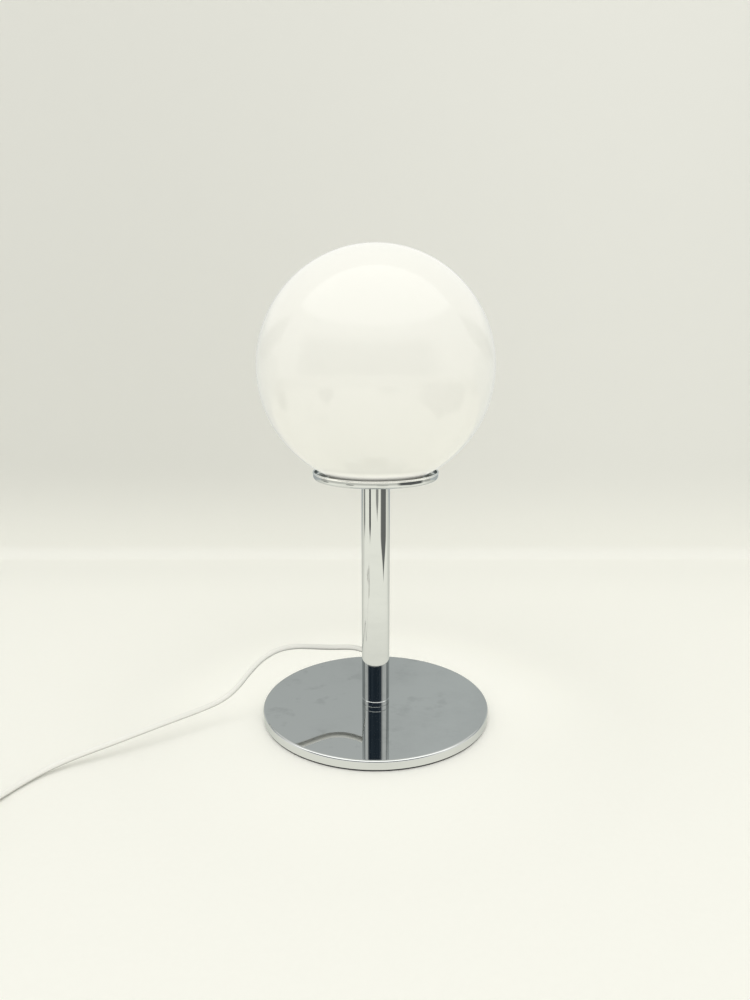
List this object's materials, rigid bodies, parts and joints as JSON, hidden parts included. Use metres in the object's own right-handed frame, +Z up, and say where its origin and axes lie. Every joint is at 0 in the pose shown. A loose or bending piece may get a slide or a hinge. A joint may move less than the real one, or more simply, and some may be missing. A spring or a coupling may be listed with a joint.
{
  "type": "globe table lamp",
  "caption": "Table lamp: an opal glass globe in a shallow gallery dish on a polished stem and weighted disc, with its bulb, mains cord, in-line switch and plug.",
  "frame": {"origin": "centre of the underside of the base, on the surface that the lamp stands on", "axes": "+Z up along the stem, +X to the right and -Y towards the viewer of the picture"},
  "size_m": [0.5071, 0.3737, 0.4135],
  "materials": {
    "chrome_sheet": "polished chrome plate with a warm white reflection",
    "opal_glass": "opal white glass, glossy outside",
    "ballast_iron": "plain cast ballast, unpainted",
    "felt": "dark felt under the base",
    "steel_fastener": "bright zinc plated steel",
    "brass_turned": "turned brass",
    "spring_steel": "spring steel strip",
    "seal_rubber": "soft white seal",
    "cord_white": "white flexible cord sheath",
    "core_brown": "brown core insulation",
    "core_blue": "blue core insulation",
    "holder_white": "white moulded lampholder",
    "holder_ceramic": "white moulded insert",
    "shell_aluminium": "pressed aluminium",
    "bulb_black": "black insulator",
    "bulb_white": "white lamp housing",
    "bulb_milk": "milky diffuser",
    "switch_white": "white moulded switch housing",
    "rocker_white": "white rocker",
    "plug_white": "white moulded plug",
    "pin_metal": "nickel plated plug pins",
    "sleeve_dark": "dark pin sleeves",
    "tie_white": "white cord tie"
  },
  "bodies": {
    "lamp": {"base_pad": "felt", "base_weight": "ballast_iron", "base_cover": "chrome_sheet", "base_screw": "steel_fastener", "foot_ring": "chrome_sheet", "stem_tube": "chrome_sheet", "stem_foot_insert": "brass_turned", "stem_top_insert": "brass_turned", "nipple": "brass_turned", "cord_bush": "cord_white", "stem_cord": "cord_white", "wire_live": "core_brown", "wire_neutral": "core_blue", "gallery_plate": "chrome_sheet", "gallery_rim": "chrome_sheet", "gallery_gasket": "seal_rubber", "globe_spring": "spring_steel", "gallery_washer": "steel_fastener", "gallery_nut": "steel_fastener", "holder_cap": "holder_white", "holder_insert": "holder_ceramic", "holder_body": "holder_white", "screw_shell": "shell_aluminium", "centre_contact": "brass_turned", "terminal_blocks": "brass_turned", "terminal_screws": "steel_fastener", "switch_base": "switch_white", "switch_cover": "switch_white", "rocker_pin": "steel_fastener", "switch_screws": "steel_fastener", "switch_terminals": "brass_turned", "switch_blade": "brass_turned", "switch_wires": "core_brown", "cord_lead": "cord_white", "cord_link": "cord_white", "cord_coil": "cord_white", "cord_tail": "cord_white", "coil_ties": "tie_white", "plug_body": "plug_white", "plug_pins": "pin_metal", "pin_sleeves": "sleeve_dark"},
    "globe": {"globe": "opal_glass"},
    "bulb_tip": {"bulb_contact": "shell_aluminium"},
    "bulb": {"bulb_cap": "shell_aluminium", "bulb_insulator": "bulb_black", "bulb_housing": "bulb_white", "bulb_diffuser": "bulb_milk"},
    "rocker": {"switch_rocker": "rocker_white"}
  },
  "joints": [
    {"name": "globe_lift", "type": "slide", "parent": "lamp", "child": "globe", "axis": [0, 0, 1], "range_m": [0, 0.17]},
    {"name": "bulb_rise", "type": "slide", "parent": "lamp", "child": "bulb_tip", "axis": [0, 0, 1], "range_m": [0, 0.0182]},
    {"name": "bulb_turn", "type": "hinge", "parent": "bulb_tip", "child": "bulb", "pos_m": [0, 0, 0.2607], "axis": [0, 0, 1], "range_deg": [0, 1800]},
    {"name": "rocker", "type": "hinge", "parent": "lamp", "child": "rocker", "pos_m": [-0.288, -0.206, 0.012], "axis": [1, 0, 0], "range_deg": [0, 16]}
  ],
  "couplings": [
    {"joint": "bulb_rise", "follows": "bulb_turn", "m_per_rad": 0.00057773}
  ]
}
